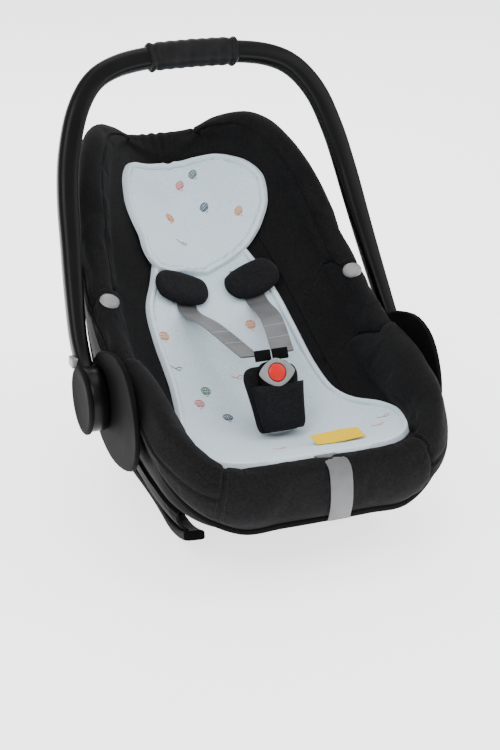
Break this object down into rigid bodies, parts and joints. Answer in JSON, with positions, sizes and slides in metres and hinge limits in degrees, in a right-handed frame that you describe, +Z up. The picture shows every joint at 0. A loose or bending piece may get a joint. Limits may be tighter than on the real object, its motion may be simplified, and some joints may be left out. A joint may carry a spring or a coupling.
{
  "type": "infant car seat",
  "caption": "Rear-facing infant car seat: moulded tub on rocker runners, tilting U-shaped carry handle with release buttons, padded cover, harness with buckle and a thin summer liner.",
  "frame": {"origin": "on the floor, under the middle of the bounding box", "axes": "+Z up, feet towards -Y, head towards +Y, +X to the child's left; the seat stands on its runners with the handle in the carry position"},
  "size_m": [0.458, 0.6573, 0.5577],
  "materials": {
    "shell_plastic": "fine-grained moulded plastic, black, satin",
    "base_plastic": "moulded plastic, black, matte",
    "handle_plastic": "moulded plastic, black, satin",
    "grip_leather": "dark grey imitation leather, fine grain",
    "cover_fabric": "charcoal woven polyester over foam",
    "liner_fabric": "pale grey-blue spacer mesh with a quilted edge",
    "tag_fabric": "plain yellow woven label",
    "pad_fabric": "black padded fabric",
    "webbing": "light grey polyester webbing, satin",
    "steel": "zinc-plated steel",
    "grey_plastic": "light grey moulded plastic, satin",
    "red_plastic": "red moulded plastic, semi-gloss",
    "foam": "grey bead foam, matte"
  },
  "bodies": {
    "seat": {"adjuster_housing": "base_plastic", "adjuster_strap": "webbing", "back_panel": "cover_fabric", "base_skirt_left": "shell_plastic", "base_skirt_right": "shell_plastic", "buckle_body": "base_plastic", "buckle_spring": "steel", "canopy_stud_left": "grey_plastic", "canopy_stud_right": "grey_plastic", "crotch_pad": "pad_fabric", "crotch_strap": "webbing", "foam_core": "foam", "front_gusset": "cover_fabric", "front_lip_panel": "cover_fabric", "head_gusset": "cover_fabric", "headrest_panel": "cover_fabric", "hip_bolster_left": "cover_fabric", "hip_bolster_right": "cover_fabric", "hub_fin_left": "shell_plastic", "hub_fin_right": "shell_plastic", "liner_body": "liner_fabric", "liner_head": "liner_fabric", "liner_tag": "tag_fabric", "pivot_bolt_left": "steel", "pivot_bolt_right": "steel", "rear_belt_hook": "base_plastic", "runner_left": "base_plastic", "runner_right": "base_plastic", "seat_panel": "cover_fabric", "shell_tub": "shell_plastic", "shoulder_pad_left": "pad_fabric", "shoulder_pad_right": "pad_fabric", "shoulder_strap_left": "webbing", "shoulder_strap_right": "webbing", "side_gusset_left": "cover_fabric", "side_gusset_right": "cover_fabric", "tongue_left": "base_plastic", "tongue_right": "base_plastic", "wing_panel_left": "cover_fabric", "wing_panel_right": "cover_fabric"},
    "handle": {"handle_bar": "handle_plastic", "grip_sleeve": "grip_leather", "hub_cap_left": "handle_plastic", "hub_cap_right": "handle_plastic", "button_spring_left": "steel", "button_spring_right": "steel"},
    "release_left": {"release_button_left": "grey_plastic"},
    "release_right": {"release_button_right": "grey_plastic"},
    "buckle_release": {"buckle_button": "red_plastic"},
    "harness_release": {"adjuster_lever": "grey_plastic"}
  },
  "joints": [
    {"name": "handle_tilt", "type": "hinge", "parent": "seat", "child": "handle", "pos_m": [0, -0.069, 0.168], "axis": [1, 0, 0], "range_deg": [-12, 70]},
    {"name": "release_left", "type": "slide", "parent": "handle", "child": "release_left", "axis": [-1, 0, 0], "range_m": [0, 0.005], "stiffness_N_per_m": 400},
    {"name": "release_right", "type": "slide", "parent": "handle", "child": "release_right", "axis": [1, 0, 0], "range_m": [0, 0.005], "stiffness_N_per_m": 400},
    {"name": "buckle_press", "type": "slide", "parent": "seat", "child": "buckle_release", "axis": [0, 0.8852, -0.4651], "range_m": [0, 0.0028], "stiffness_N_per_m": 600},
    {"name": "harness_lever", "type": "hinge", "parent": "seat", "child": "harness_release", "pos_m": [0, -0.2555, 0.124], "axis": [1, 0, 0], "range_deg": [0, 8], "stiffness_Nm_per_rad": 0.6}
  ]
}
